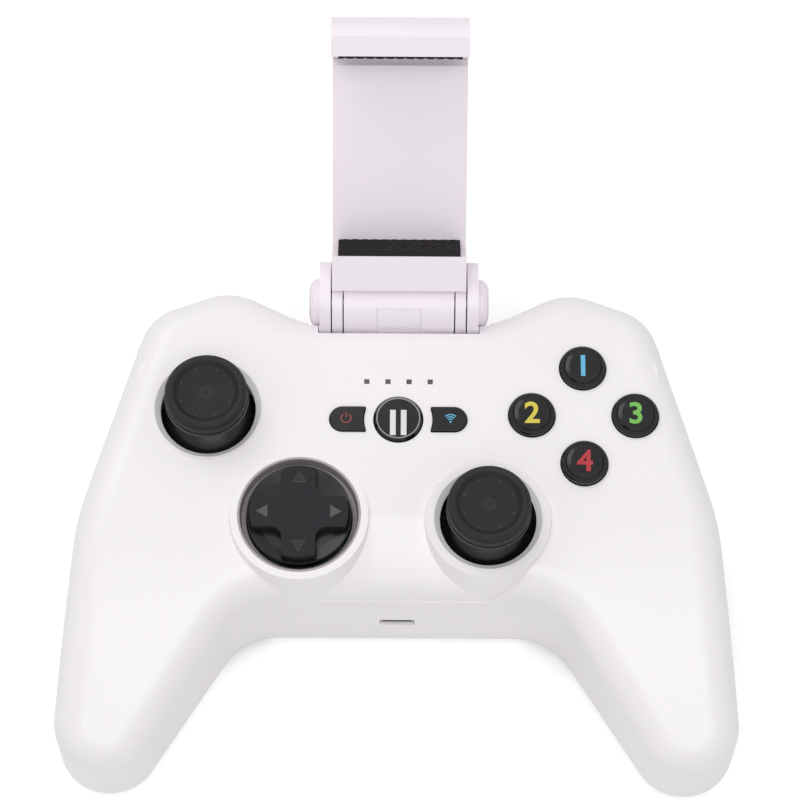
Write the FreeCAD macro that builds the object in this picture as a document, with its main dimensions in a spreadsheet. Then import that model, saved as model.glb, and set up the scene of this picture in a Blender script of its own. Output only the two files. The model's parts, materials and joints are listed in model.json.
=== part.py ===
import FreeCAD, Part
import math
import os
import re
import Sketcher

# Game controller with a flip-up phone clamp, all sizes in millimetres.
# Frame: +X to the player's right, +Y away from the player, +Z up.
# The origin lies on the flat belly, under the middle of the face.

SIZES = {
    # Case form
    "case_width": 153.2,
    "case_length": 108.7,
    "face_height": 40.8,
    "wall": 2.2,
    "top_edge_radius": 7.5,
    "bottom_edge_radius": 6.0,
    "grip_slope_start": 2.0,
    "grip_slope_radius": 170.0,
    "front_slope_start": -7.0,
    "front_slope_radius": 38.0,
    "front_slope_sweep": 34.0,
    "front_slope_half": 20.0,
    "front_lip_radius": 6.5,
    "arch_radius": 30.0,
    "arch_rise": 7.0,
    "arch_start": 30.0,
    "arch_middle": -20.0,
    "seam_height": 17.0,
    "seam_slope": 4.4,
    # Fits between pieces
    "running_gap": 0.05,
    "key_gap": 0.2,
    "body_gap": 0.3,
    # Screws and posts
    "post_radius": 3.2,
    "screw_radius": 1.2,
    "screw_head_radius": 2.6,
    "screw_head_height": 1.8,
    "screw_seat": 6.0,
    "screw_length": 20.0,
    "side_post_x": 56.0,
    "side_post_y": 20.4,
    "grip_post_x": 61.0,
    "grip_post_y": -32.0,
    "front_post_y": -22.0,
    # Electronics
    "board_bottom": 17.0,
    "board_thickness": 1.2,
    "board_rear": 24.0,
    "board_front": 27.0,
    "board_side": 57.0,
    "battery_width": 46.0,
    "battery_length": 30.0,
    "battery_height": 11.0,
    "battery_floor": 2.25,
    "usb_width": 7.6,
    "usb_height": 2.8,
    "usb_depth": 6.0,
    "usb_face": 30.9,
    # Sticks
    "left_stick_x": -43.1,
    "left_stick_y": 10.6,
    "right_stick_x": 20.2,
    "right_stick_y": -16.0,
    "stick_pivot": 26.8,
    "stick_hole_radius": 10.8,
    "stick_bevel": 1.3,
    "dome_radius": 14.6,
    "dome_thickness": 1.2,
    "dome_edge_radius": 10.2,
    "stick_flange_radius": 9.5,
    "stick_flange_height": 45.9,
    "stick_cap_radius": 9.3,
    "stick_cap_height": 3.4,
    "stick_cap_grip": 6.5,
    "stick_post_radius": 2.0,
    "housing_side": 17.0,
    "housing_wall": 1.4,
    "housing_rim": 2.8,
    "gimbal_side": 12.4,
    "gimbal_window": 9.0,
    "gimbal_thickness": 2.4,
    "gimbal_pin": 1.0,
    "hub_side": 7.2,
    "hub_pin": 0.8,
    # Direction pad
    "dpad_x": -22.0,
    "dpad_y": -15.3,
    "dpad_radius": 11.7,
    "dpad_pivot": 32.0,
    "dpad_edge_height": 39.8,
    "dpad_disc_thickness": 1.5,
    "dpad_cross_height": 1.3,
    "dpad_arm_half": 3.7,
    "dpad_corner_radius": 2.6,
    "bezel_radius": 13.75,
    "bezel_top_inner": 13.3,
    "bezel_low_inner": 12.8,
    "bezel_height": 4.4,
    "dpad_turret_radius": 15.5,
    "stick_turret_radius": 14.0,
    "turret_flare": 1.3,
    "turret_base": 28.5,
    "turret_rise": 0.4,
    "turret_wall": 1.5,
    "ring_radius": 12.8,
    # Face buttons and keys
    "buttons_x": 41.9,
    "buttons_y": 9.2,
    "button_pitch": 11.7,
    "button_radius": 5.25,
    "button_step_radius": 4.3,
    "button_proud": 1.8,
    "button_step": 0.7,
    "button_travel": 1.3,
    "button_flange": 1.0,
    "button_rim_drop": 0.5,
    "button_foot": 24.4,
    "mat_thickness": 0.9,
    "mat_dome_radius": 2.6,
    "centre_key_radius": 5.5,
    "centre_key_y": 8.0,
    "centre_key_proud": 0.9,
    "side_key_x": 11.5,
    "side_key_length": 8.0,
    "side_key_width": 5.8,
    "side_key_proud": 0.7,
    "side_key_hollow": 0.4,
    "key_travel": 0.7,
    "switch_height": 3.2,
    "switch_side": 5.0,
    "key_stem_radius": 1.8,
    "led_side": 1.1,
    "led_pitch": 4.8,
    "led_y": 17.4,
    # Shoulder buttons and triggers
    "bumper_inner_x": 24.0,
    "bumper_outer_x": 61.0,
    "bumper_bottom": 23.0,
    "bumper_height": 8.0,
    "bumper_thickness": 2.8,
    "bumper_proud": 0.7,
    "bumper_side_end": 28.4,
    "bumper_side_gap": 1.6,
    "bumper_play": 1.9,
    "bumper_pin_x": 26.2,
    "bumper_pin_y": 32.6,
    "bumper_pin_radius": 1.0,
    "bumper_switch_x": 44.0,
    "bumper_switch_y": 35.1,
    "trigger_x": 39.0,
    "trigger_width": 21.0,
    "trigger_side_gap": 0.6,
    "trigger_pivot_y": 29.5,
    "trigger_pivot_z": 16.0,
    "trigger_hub_radius": 3.0,
    "trigger_pin_radius": 1.0,
    "trigger_reach": 48.5,
    "spring_length": 3.0,
    # Hinge of the clamp
    "hinge_y": 38.4,
    "hinge_z": 38.25,
    "barrel_radius": 7.95,
    "barrel_half": 12.6,
    "knuckle_width": 2.4,
    "knuckle_gap": 0.3,
    "ear_thickness": 2.6,
    "ear_radius": 8.8,
    "ear_setback": 0.7,
    "cap_radius": 5.4,
    "cap_height": 2.5,
    "hinge_pin_radius": 2.0,
    "hinge_foot_height": 22.0,
    "cover_half_width": 5.0,
    "cover_length": 6.3,
    "cover_seat": 6.6,
    "cover_turn": 58.0,
    # Phone clamp
    "clamp_lean": 46.7,
    "clamp_half_width": 15.3,
    "ledge_height": 13.7,
    "ledge_front": 8.2,
    "ledge_drop": 5.5,
    "plate_front": 1.3,
    "plate_back": 7.2,
    "plate_top": 56.9,
    "back_cover": 1.4,
    "slot_half_width": 13.2,
    "slot_thickness": 2.8,
    "slot_floor": 16.0,
    "slide_gap": 0.1,
    "spring_room": 3.0,
    "back_screw_radius": 0.75,
    "back_screw_head": 0.8,
    "back_screw_length": 4.0,
    "back_screw_drop": 2.55,
    "jaw_neck": 3.2,
    "jaw_lip_drop": 7.3,
    "jaw_overhang": 0.15,
    "jaw_front": 8.7,
    "pad_thickness": 1.5,
    "jaw_pad_setback": 3.5,
    "pad_margin": 1.4,
}

doc = FreeCAD.newDocument("game_controller")
sheet = doc.addObject("Spreadsheet::Sheet", "Sizes")
for row, (alias, number) in enumerate(SIZES.items(), start=1):
    sheet.set("A%d" % row, alias)
    sheet.set("B%d" % row, str(number))
    sheet.setAlias("B%d" % row, alias)
doc.recompute()

nodes = []


def linked(text):
    """Write a formula of size names as one that reads the sheet's cells."""
    return re.sub(r"[a-z_]+[a-z]", lambda word: "Sizes." + word.group(0)
                  if word.group(0) in SIZES else word.group(0), str(text))


def value(text):
    """The number that a formula of size names has now."""
    return float(sheet.evalExpression(linked(text)))


def bind(item, **formulas):
    """Bind properties of an object to formulas of size names."""
    for name, text in formulas.items():
        item.setExpression(name, linked(text))


def place(item, x="0", y="0", z="0", axis=None, angle="0"):
    """Put an object at a point, turned about an axis, all bound to the sheet."""
    if axis is not None:
        item.Placement.Rotation = FreeCAD.Rotation(FreeCAD.Vector(*axis), 1)
        item.setExpression("Placement.Rotation.Angle", linked(angle))
    for letter, text in zip("xyz", (x, y, z)):
        item.setExpression("Placement.Base." + letter, linked(text))
    return item


def box(name, width, length, height, x="0", y="0", z="0"):
    """A block centred on x and y, standing on z."""
    item = doc.addObject("Part::Box", name)
    bind(item, Length=width, Width=length, Height=height)
    return place(item, "%s - (%s) / 2" % (x, width), "%s - (%s) / 2" % (y, length), z)


def rod(name, radius, height, x="0", y="0", z="0", along="z"):
    """A cylinder that starts at a point and runs along an axis."""
    item = doc.addObject("Part::Cylinder", name)
    bind(item, Radius=radius, Height=height)
    turn = {"x": (0, 1, 0), "y": (-1, 0, 0), "z": None}[along]
    return place(item, x, y, z, turn, "90")


def cone(name, low_radius, top_radius, height, x, y, z):
    """A cone frustum that stands on a point."""
    item = doc.addObject("Part::Cone", name)
    bind(item, Radius1=low_radius, Radius2=top_radius, Height=height)
    return place(item, x, y, z)


def ball(name, radius, x, y, z):
    """A ball about a point."""
    item = doc.addObject("Part::Sphere", name)
    bind(item, Radius=radius)
    return place(item, x, y, z)


def fused(name, pieces):
    """Pieces joined into one."""
    item = doc.addObject("Part::MultiFuse", name)
    item.Shapes = pieces
    return item


def cut(name, base, tools):
    """A base with one or more tools cut away."""
    item = doc.addObject("Part::Cut", name)
    item.Base = base
    item.Tool = tools[0] if len(tools) == 1 else fused(name + "_tools", tools)
    return item


def common(name, base, tool):
    """What two objects share."""
    item = doc.addObject("Part::Common", name)
    item.Base = base
    item.Tool = tool
    return item


def group(name, pieces):
    """Separate solids kept together as one sub-part."""
    item = doc.addObject("Part::Compound", name)
    item.Links = pieces
    return item


def node(item, label):
    """Mark an object as a finished sub-part with its own name."""
    item.Label = label
    nodes.append(item)
    return item


def outline(body, plane, corners):
    """A closed outline of straight lines whose corners are bound to the sheet."""
    sketch = body.newObject("Sketcher::SketchObject", body.Name + "_sketch")
    origin_plane = next(f for f in body.Origin.OriginFeatures if f.Role == plane)
    sketch.AttachmentSupport = [(origin_plane, "")]
    sketch.MapMode = "FlatFace"
    spots = [FreeCAD.Vector(value(a), value(b), 0) for a, b in corners]
    count = len(spots)
    lines = [Part.LineSegment(spots[i], spots[(i + 1) % count]) for i in range(count)]
    sketch.addGeometry(lines, False)
    joins = [Sketcher.Constraint("Coincident", i, 2, (i + 1) % count, 1) for i in range(count)]
    sketch.addConstraint(joins)
    for i, (a, b) in enumerate(corners):
        for kind, text, now in (("DistanceX", a, spots[i].x), ("DistanceY", b, spots[i].y)):
            index = sketch.addConstraint(Sketcher.Constraint(kind, i, 1, now))
            sketch.setExpression("Constraints[%d]" % index, linked(text))
    return sketch


def turned(name, corners, x="0", y="0", z="0"):
    """A body of revolution about an upright axis, from radius and height pairs."""
    body = doc.addObject("PartDesign::Body", name)
    sketch = outline(body, "XZ_Plane", corners)
    turn = body.newObject("PartDesign::Revolution", name + "_turn")
    turn.Profile = sketch
    turn.ReferenceAxis = (sketch, ["V_Axis"])
    turn.Angle = 360
    return place(body, x, y, z)


def padded(name, plane, corners, length, middle=False, x="0", y="0", z="0"):
    """A body padded from an outline on one of its own planes."""
    body = doc.addObject("PartDesign::Body", name)
    sketch = outline(body, plane, corners)
    pad = body.newObject("PartDesign::Pad", name + "_pad")
    pad.Profile = sketch
    pad.Midplane = middle
    bind(pad, Length=length)
    return place(body, x, y, z)


def mirror_sign(side):
    """The sign of X on a side."""
    return "-1" if side == "left" else "1"


# Case form: an outline of lines and arcs, a sloping face and a flat underside

OUTLINE_CORNERS = [
    (22.0, 34.6, 14.0), (38.5, 43.0, 14.0), (57.5, 36.0, 12.0), (72.2, -14.0, 60.0),
    (77.2, -69.0, 11.0), (58.5, -69.2, 11.0), (35.1, -31.5, 14.0),
]
CORNER_REACH_X = 76.4
CORNER_REACH_Y = 108.7


def rounded_wire(corners):
    """A closed wire through corners, each rounded by an arc of its own radius."""
    count = len(corners)
    arcs = []
    for i, (x, y, radius) in enumerate(corners):
        spot = FreeCAD.Vector(x, y, 0)
        before = (FreeCAD.Vector(*corners[i - 1][:2], 0) - spot).normalize()
        after = (FreeCAD.Vector(*corners[(i + 1) % count][:2], 0) - spot).normalize()
        half = before.getAngle(after) / 2
        bisector = (before + after).normalize()
        reach = radius / math.tan(half)
        nearest = spot + bisector * (radius / math.sin(half) - radius)
        arcs.append(Part.Arc(spot + before * reach, nearest, spot + after * reach))
    edges = []
    for i, arc in enumerate(arcs):
        edges.append(arc.toShape())
        edges.append(Part.LineSegment(arc.EndPoint, arcs[(i + 1) % count].StartPoint).toShape())
    return Part.Wire(edges)


def case_outline(inset):
    """The case's outline seen from above, moved inwards by an inset."""
    stretch_x = value("case_width / 2") / CORNER_REACH_X
    stretch_y = value("case_length") / CORNER_REACH_Y
    shrink = min(stretch_x, stretch_y)
    right = [(x * stretch_x, y * stretch_y, radius * shrink) for x, y, radius in OUTLINE_CORNERS]
    left = [(-x, y, radius) for x, y, radius in reversed(right)]
    wire = rounded_wire(right + left)
    return wire.makeOffset2D(-inset) if inset else wire


def half_space(bottom, top):
    """A wide block between two heights."""
    wide = 400.0
    block = Part.makeBox(wide, wide, top - bottom)
    block.translate(FreeCAD.Vector(-wide / 2, -wide / 2, bottom))
    return block


def side_face(edges):
    """A flat face in the YZ plane from a list of edges."""
    return Part.Face(Part.Wire(edges))


def line(start, end):
    """A straight edge in the YZ plane, from pairs of y and z."""
    return Part.LineSegment(FreeCAD.Vector(0, *start), FreeCAD.Vector(0, *end)).toShape()


def arc(centre, radius, first, last):
    """An arc in the YZ plane about a centre, between two angles from straight up."""
    spots = []
    for angle in (first, (first + last) / 2, last):
        turn = math.radians(angle)
        spots.append(FreeCAD.Vector(0, centre[0] - radius * math.sin(turn),
                                    centre[1] + radius * math.cos(turn)))
    return Part.Arc(*spots), spots


def grip_side(inset):
    """The space under the face and the grips' long slope."""
    wide, rear, low, sweep = 200.0, 80.0, -20.0, 28.0
    top = value("face_height") - inset
    start = value("grip_slope_start")
    centre = (start, value("face_height - grip_slope_radius"))
    curve, spots = arc(centre, value("grip_slope_radius") - inset, 0, sweep)
    end = (spots[-1].y, spots[-1].z)
    edges = [curve.toShape(), line(end, (end[0], low)), line((end[0], low), (rear, low)),
             line((rear, low), (rear, top)), line((rear, top), (start, top))]
    solid = side_face(edges).extrude(FreeCAD.Vector(wide, 0, 0))
    solid.translate(FreeCAD.Vector(-wide / 2, 0, 0))
    return solid


def front_side(inset):
    """The space over the front slope between the grips, with its rounded lip."""
    wide, high, front = 200.0, 60.0, -90.0
    sweep = value("front_slope_sweep")
    start = value("front_slope_start")
    slope = value("front_slope_radius")
    lip = value("front_lip_radius")
    centre = (start, value("face_height") - slope)
    curve, spots = arc(centre, slope - inset, 0, sweep)
    turn = math.radians(sweep)
    lip_centre = (centre[0] - (slope - lip) * math.sin(turn), centre[1] + (slope - lip) * math.cos(turn))
    lip_curve, lip_spots = arc(lip_centre, lip - inset, sweep, 90)
    foot = (lip_spots[-1].y, lip_spots[-1].z)
    first = (spots[0].y, spots[0].z)
    edges = [curve.toShape(), lip_curve.toShape(), line(foot, (front, foot[1])),
             line((front, foot[1]), (front, high)), line((front, high), (first[0], high)),
             line((first[0], high), first)]
    solid = side_face(edges).extrude(FreeCAD.Vector(wide, 0, 0))
    solid.translate(FreeCAD.Vector(-wide / 2, 0, 0))
    low, flare = value("front_slope_half") + inset, value("face_height")
    corners = [(-low, foot[1]), (low, foot[1]), (low + flare, foot[1] + flare),
               (-low - flare, foot[1] + flare), (-low, foot[1])]
    tent = Part.Face(Part.makePolygon([FreeCAD.Vector(x, front, z) for x, z in corners]))
    return solid.common(tent.extrude(FreeCAD.Vector(0, high - front, 0)))


def rounded(solid, radius, at_top):
    """The solid with its top or bottom rim rounded."""
    middle = value("face_height") / 3
    rims = {}
    for face in solid.Faces:
        if abs(face.normalAt(*[sum(face.ParameterRange[i:i + 2]) / 2 for i in (0, 2)]).z) > 0.01:
            continue
        for edge in face.Edges:
            rim_box = edge.BoundBox
            if (rim_box.ZMin > middle) if at_top else (rim_box.ZMax < middle):
                rims[edge.hashCode()] = edge
    return solid.makeFillet(radius, list(rims.values()))


def case_form(inset):
    """The case's whole form, moved inwards by an inset, as one solid."""
    prism = Part.Face(case_outline(inset)).extrude(
        FreeCAD.Vector(0, 0, value("face_height") - 2 * inset))
    prism.translate(FreeCAD.Vector(0, 0, inset))
    form = prism.common(grip_side(inset))
    form = rounded(form, value("top_edge_radius") - inset, True)
    form = rounded(form, value("bottom_edge_radius") - inset, False)
    return form.cut(front_side(inset))


def grip_arches(inset):
    """The hollow under each grip, where the fingers curl, as two cylinders."""
    radius, rise = value("arch_radius"), value("arch_rise")
    start, y = value("arch_start"), value("arch_middle")
    reach = value("case_width")
    rods = []
    for sign in (-1, 1):
        rods.append(Part.makeCylinder(
            radius + inset, reach, FreeCAD.Vector(sign * (start - inset), y, rise - radius),
            FreeCAD.Vector(sign, 0, 0)))
    return rods


def code_feature(name, shape):
    """A document object that holds a shape made in code."""
    item = doc.addObject("Part::Feature", name)
    item.Shape = shape
    return item


def make_case_forms():
    """The case's two halves, parted by the seam."""
    wall = value("wall")
    outer = case_form(0).cut(grip_arches(0))
    inner = case_form(wall).cut(grip_arches(wall))
    skin = outer.cut(inner)
    upper = half_space(0, value("face_height + wall"))
    upper.rotate(FreeCAD.Vector(0, 0, 0), FreeCAD.Vector(1, 0, 0), value("seam_slope"))
    upper.translate(FreeCAD.Vector(0, 0, value("seam_height")))
    return (code_feature("top_skin", skin.common(upper)),
            code_feature("bottom_skin", skin.cut(upper)))


top_skin, bottom_skin = make_case_forms()

POSTS = [("side_post_x", "side_post_y"), ("-side_post_x", "side_post_y"),
         ("grip_post_x", "grip_post_y"), ("-grip_post_x", "grip_post_y"),
         ("0", "front_post_y")]
FACE_BUTTONS = [("top", "0", "button_pitch"), ("bottom", "0", "-button_pitch"),
                ("left", "-button_pitch", "0"), ("right", "button_pitch", "0")]
SIDE_KEYS = [("power", "-side_key_x"), ("wireless", "side_key_x")]
LED_STEPS = ["-1.5", "-0.5", "0.5", "1.5"]
TALL = "60"


def post_rods(name, radius, z, height):
    """One rod at each screw post."""
    return [rod("%s_%d" % (name, i), radius, height, x, y, z) for i, (x, y) in enumerate(POSTS)]


def seam_at(y):
    """Height of the seam above a place, as a formula."""
    return "(seam_height + (%s) * tan(seam_slope))" % y


def face_at(y):
    """Height of the case's face over a screw post."""
    fall = max(0.0, value("grip_slope_start - (%s)" % y))
    radius = value("grip_slope_radius")
    if y == "front_post_y":
        fall = max(0.0, value("front_slope_start - front_post_y + post_radius"))
        radius = value("front_slope_radius")
    return value("face_height") - radius + math.sqrt(radius ** 2 - fall ** 2)


def underside_at(x, y):
    """Height of the case's underside below a screw post."""
    radius = value("arch_radius")
    aside = value(y) - value("arch_middle")
    if x == "0" or abs(aside) >= radius:
        return 0.0
    return max(0.0, value("arch_rise") - radius + math.sqrt(radius ** 2 - aside ** 2))


def upper_posts():
    """Screw posts from the seam up into the skin of the face."""
    posts = []
    for i, (x, y) in enumerate(POSTS):
        top = face_at(y) - value("wall") / 2
        posts.append(rod("top_post_%d" % i, "post_radius", "%.3f - %s" % (top, seam_at(y)), x, y,
                         seam_at(y)))
    return posts


def lower_posts():
    """Screw posts from the skin of the underside up to the seam."""
    posts = []
    for i, (x, y) in enumerate(POSTS):
        low = underside_at(x, y) + value("wall") / 2
        posts.append(rod("bottom_post_%d" % i, "post_radius",
                         "%s - %.3f - body_gap" % (seam_at(y), low), x, y, "%.3f" % low))
    return posts


def side_key(name, x, outward, extra, z, height):
    """A key that is round at its outer end and hollow towards the centre button."""
    width = "side_key_width + 2 * (%s)" % extra
    slab_length = "side_key_length - side_key_width / 2 + (%s)" % extra
    slab = box(name + "_slab", slab_length, width, height,
               "%s - (%s) * (side_key_width / 4 + (%s) / 2)" % (x, outward, extra),
               "centre_key_y", z)
    disc = rod(name + "_disc", "side_key_width / 2 + (%s)" % extra, height,
               "%s + (%s) * (side_key_length - side_key_width) / 2" % (x, outward),
               "centre_key_y", z)
    bite = rod(name + "_bite", "side_key_x - side_key_length / 2 + side_key_hollow - (%s)" % extra,
               TALL, "0", "centre_key_y", "%s - 5" % z)
    return cut(name, fused(name + "_round", [slab, disc]), [bite])


def turret(name, radius, x, y):
    """A turret that carries a control above the falling face, and its hollow."""
    top = "face_height + turret_rise"
    height = "face_height + turret_rise - turret_base"
    solid = cone(name, radius + " + turret_flare", radius, height, x, y, "turret_base")
    hollow = cone(name + "_hollow", radius + " + turret_flare - turret_wall",
                  radius + " - turret_wall", height + " - turret_wall + 1", x, y,
                  "turret_base - 1")
    return solid, hollow, top


def make_top_shell():
    """Upper shell: skin, turrets and posts, with every opening of the face."""
    dpad_turret, dpad_hollow, top = turret("dpad_turret", "dpad_turret_radius", "dpad_x", "dpad_y")
    stick_turret, stick_hollow, top = turret(
        "stick_turret", "stick_turret_radius", "right_stick_x", "right_stick_y")
    ring = rod("left_ring", "ring_radius", "3", "left_stick_x", "left_stick_y", "face_height - 2.8")
    body = fused("top_solid", [top_skin, ring, dpad_turret, stick_turret] + upper_posts()
                 + bumper_supports())
    tools = [dpad_hollow, stick_hollow]
    for side in ("left", "right"):
        tools.append(rod(side + "_pin_bore", "bumper_pin_radius + running_gap", "bumper_height + 4",
                         mirror_sign(side) + " * bumper_pin_x", "bumper_pin_y",
                         "bumper_bottom - 2"))
    tools += post_rods("top_pilot", "screw_radius + running_gap", "0", "screw_seat + screw_length + 1")
    for side in ("left", "right"):
        x, y = side + "_stick_x", side + "_stick_y"
        rim = "face_height + 0.2" if side == "left" else top
        tools.append(rod(side + "_stick_hole", "stick_hole_radius", TALL, x, y, "turret_base"))
        tools.append(cone(side + "_stick_bevel", "stick_hole_radius", "stick_hole_radius + stick_bevel",
                          "stick_bevel + 0.01", x, y, "%s - stick_bevel" % rim))
    tools.append(rod("bezel_hole", "bezel_radius + running_gap", TALL, "dpad_x", "dpad_y",
                     "face_height + turret_rise - bezel_height - 1"))
    for name, dx, dy in FACE_BUTTONS:
        tools.append(rod(name + "_hole", "button_radius + key_gap", TALL, "buttons_x + " + dx,
                         "buttons_y + " + dy, "30"))
    tools.append(rod("centre_hole", "centre_key_radius + key_gap", TALL, "0", "centre_key_y", "30"))
    for name, x in SIDE_KEYS:
        tools.append(side_key(name + "_hole", x, "1" if name == "wireless" else "-1", "key_gap",
                              "30", "30"))
    for i, step in enumerate(LED_STEPS):
        tools.append(box("led_hole_%d" % i, "led_side + 2 * running_gap", "led_side + 2 * running_gap",
                         "30", step + " * led_pitch", "led_y", "30"))
    tools.append(hinge_recess("hinge_recess_top"))
    tools += cap_bays("cap_bay_top")
    tools.append(usb_hole("usb_hole_top"))
    for side in ("left", "right"):
        tools.append(bumper_opening(side))
        tools.append(trigger_opening(side + "_top"))
    node(cut("top_shell", body, tools), "top_shell")


def bumper_supports():
    """Bosses that hold the shoulder buttons' pins and ribs that carry their switches."""
    pieces = []
    for side in ("left", "right"):
        sign = mirror_sign(side)
        pieces.append(box(side + "_pin_boss", "2 * bumper_pin_radius + 2.4", "6",
                          "bumper_height + 5.6", sign + " * bumper_pin_x", "bumper_pin_y + 1",
                          "bumper_bottom - 2.8"))
        pieces.append(box(side + "_switch_rib", "switch_side", "3",
                          "face_height - bumper_bottom - bumper_height - wall / 2 - 0.8",
                          sign + " * bumper_switch_x", "bumper_switch_y",
                          "bumper_bottom + bumper_height"))
    return pieces


def hinge_recess(name):
    """The bay at the rear of the case that the hinge stands in."""
    width = "2 * (barrel_half + 2 * knuckle_gap + knuckle_width + ear_thickness + body_gap)"
    return box(name, width, "40", TALL, "0", "hinge_y - barrel_radius - 0.7 + 20",
               "hinge_foot_height - body_gap")


def cap_bays(name):
    """Bays in the case's rear edge that clear the hinge's end caps."""
    ear_out = "barrel_half + 2 * knuckle_gap + knuckle_width + ear_thickness"
    length = "cap_height + body_gap"
    starts = [("left", "-(%s) - (%s)" % (ear_out, length)), ("right", ear_out)]
    return [rod("%s_%s" % (side, name), "cap_radius + body_gap", length, start, "hinge_y", "hinge_z",
                "x") for side, start in starts]


def usb_hole(name):
    """The opening for the charging socket."""
    return box(name, "usb_width + 2 * key_gap", "20", "usb_height + 2 * key_gap", "0",
               "-usb_face", "board_bottom - usb_height - key_gap")


def bumper_opening(side):
    """The opening that a shoulder button fills, with room for its travel."""
    sign = mirror_sign(side)
    width = "bumper_outer_x - bumper_inner_x + key_gap + bumper_play"
    x = "%s * (bumper_outer_x + bumper_inner_x - key_gap + bumper_play) / 2" % sign
    return box(side + "_bumper_opening", width, "30", "bumper_height + 2 * key_gap",
               x, "bumper_side_end - bumper_side_gap + 15", "bumper_bottom - key_gap")


def trigger_opening(name):
    """The opening that a trigger swings in."""
    sign = mirror_sign("left" if name.startswith("left") else "right")
    return box(name + "_trigger_opening", "trigger_width + 2 * trigger_side_gap", "30",
               "trigger_pivot_z + trigger_hub_radius + 0.6 - 3.4", sign + " * trigger_x",
               "trigger_pivot_y - trigger_hub_radius - 0.6 + 15", "3.4")


def make_bottom_shell():
    """Lower shell: skin, posts and the lugs that hold the trigger pins."""
    posts = lower_posts()
    for side in ("left", "right"):
        sign = mirror_sign(side)
        for end, step in (("in", "-1"), ("out", "1")):
            x = "%s * trigger_x + (%s) * (trigger_width / 2 + trigger_side_gap + 1)" % (sign, step)
            posts.append(box("%s_lug_%s" % (side, end), "2", "6", "trigger_pivot_z + 1",
                             x, "trigger_pivot_y - 0.5", "1.5"))
    body = fused("bottom_solid", [bottom_skin] + posts)
    tools = post_rods("bottom_bore", "screw_radius + key_gap", "-1", TALL)
    tools += post_rods("screw_recess", "screw_head_radius + key_gap", "-1",
                       "screw_seat + screw_head_height + 1")
    tools.append(usb_hole("usb_hole_bottom"))
    tools.append(hinge_recess("hinge_recess_bottom"))
    tools += cap_bays("cap_bay_bottom")
    for side in ("left", "right"):
        sign = mirror_sign(side)
        tools.append(trigger_opening(side + "_bottom"))
        tools.append(rod(side + "_lug_bore", "trigger_pin_radius + running_gap",
                         "trigger_width + 2 * trigger_side_gap + 4.2",
                         "%s * trigger_x - trigger_width / 2 - trigger_side_gap - 2.1" % sign,
                         "trigger_pivot_y", "trigger_pivot_z", "x"))
    node(cut("bottom_shell", body, tools), "bottom_shell")


def make_screws():
    """Five case screws with countersunk drive slots."""
    screws = []
    for i, (x, y) in enumerate(POSTS):
        head = rod("screw_head_%d" % i, "screw_head_radius", "screw_head_height", x, y, "screw_seat")
        shank = rod("screw_shank_%d" % i, "screw_radius", "screw_length", x, y, "screw_seat")
        slot = box("screw_slot_%d" % i, "2 * screw_head_radius - 1.6", "0.7",
                   "screw_head_height / 2", x, y, "screw_seat")
        screws.append(cut("screw_%d" % i, fused("screw_blank_%d" % i, [head, shank]), [slot]))
    node(group("case_screws", screws), "case_screws")


def make_electronics():
    """Circuit board, battery, charging socket, lights and key switches."""
    corners = [("-board_side + 3", "board_rear"), ("-board_side", "0"),
               ("-board_side + 8", "-board_front + 5"), ("-board_side + 22", "-board_front"),
               ("board_side - 22", "-board_front"), ("board_side - 8", "-board_front + 5"),
               ("board_side", "0"), ("board_side - 3", "board_rear")]
    blank = padded("board_blank", "XY_Plane", corners, "board_thickness", z="board_bottom")
    bores = [rod("board_bore_%d" % i, "post_radius + key_gap", "10", x, y, "board_bottom - 5")
             for i, (x, y) in enumerate(POSTS) if i in (0, 1, 4)]
    node(cut("main_board", blank, bores), "main_board")
    cell = box("battery_blank", "battery_width", "battery_length", "battery_height", "0", "-1",
               "battery_floor")
    cell_rounded = doc.addObject("Part::Fillet", "battery_rounded")
    cell_rounded.Base = cell
    cell.recompute()
    upright = [i + 1 for i, e in enumerate(cell.Shape.Edges) if e.BoundBox.ZLength > 1]
    cell_rounded.Edges = [(i, 3.0, 3.0) for i in upright]
    node(cell_rounded, "battery_cell")
    socket = box("usb_body", "usb_width", "usb_depth", "usb_height", "0",
                 "-usb_face + usb_depth / 2", "board_bottom - usb_height")
    slot = box("usb_slot", "usb_width - 0.8", "usb_depth - 1", "usb_height - 0.8", "0",
               "-usb_face + usb_depth / 2 - 1", "board_bottom - usb_height + 0.4")
    tongue = box("usb_tongue", "usb_width - 3", "usb_depth - 2", "0.6", "0",
                 "-usb_face + usb_depth / 2 + 0.4", "board_bottom - usb_height / 2 - 0.3")
    node(fused("usb_socket", [cut("usb_case", socket, [slot]), tongue]), "usb_socket")
    board_top = "board_bottom + board_thickness"
    lamps = []
    pipes = []
    for i, step in enumerate(LED_STEPS):
        x = step + " * led_pitch"
        lamps.append(box("lamp_%d" % i, "1.6", "1.6", "0.8", x, "led_y", board_top))
        pipes.append(box("pipe_%d" % i, "led_side", "led_side",
                         "face_height - %s - 0.9" % board_top.replace(" + ", " - "), x, "led_y",
                         board_top + " + 0.9"))
    node(group("status_lamps", lamps), "status_lamps")
    node(group("lamp_windows", pipes), "lamp_windows")
    switches = [box("switch_centre", "switch_side", "switch_side", "switch_height", "0",
                    "centre_key_y", board_top)]
    for name, x in SIDE_KEYS:
        switches.append(box("switch_" + name, "switch_side", "switch_side", "switch_height", x,
                            "centre_key_y", board_top))
    node(group("key_switches", switches), "key_switches")


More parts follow.
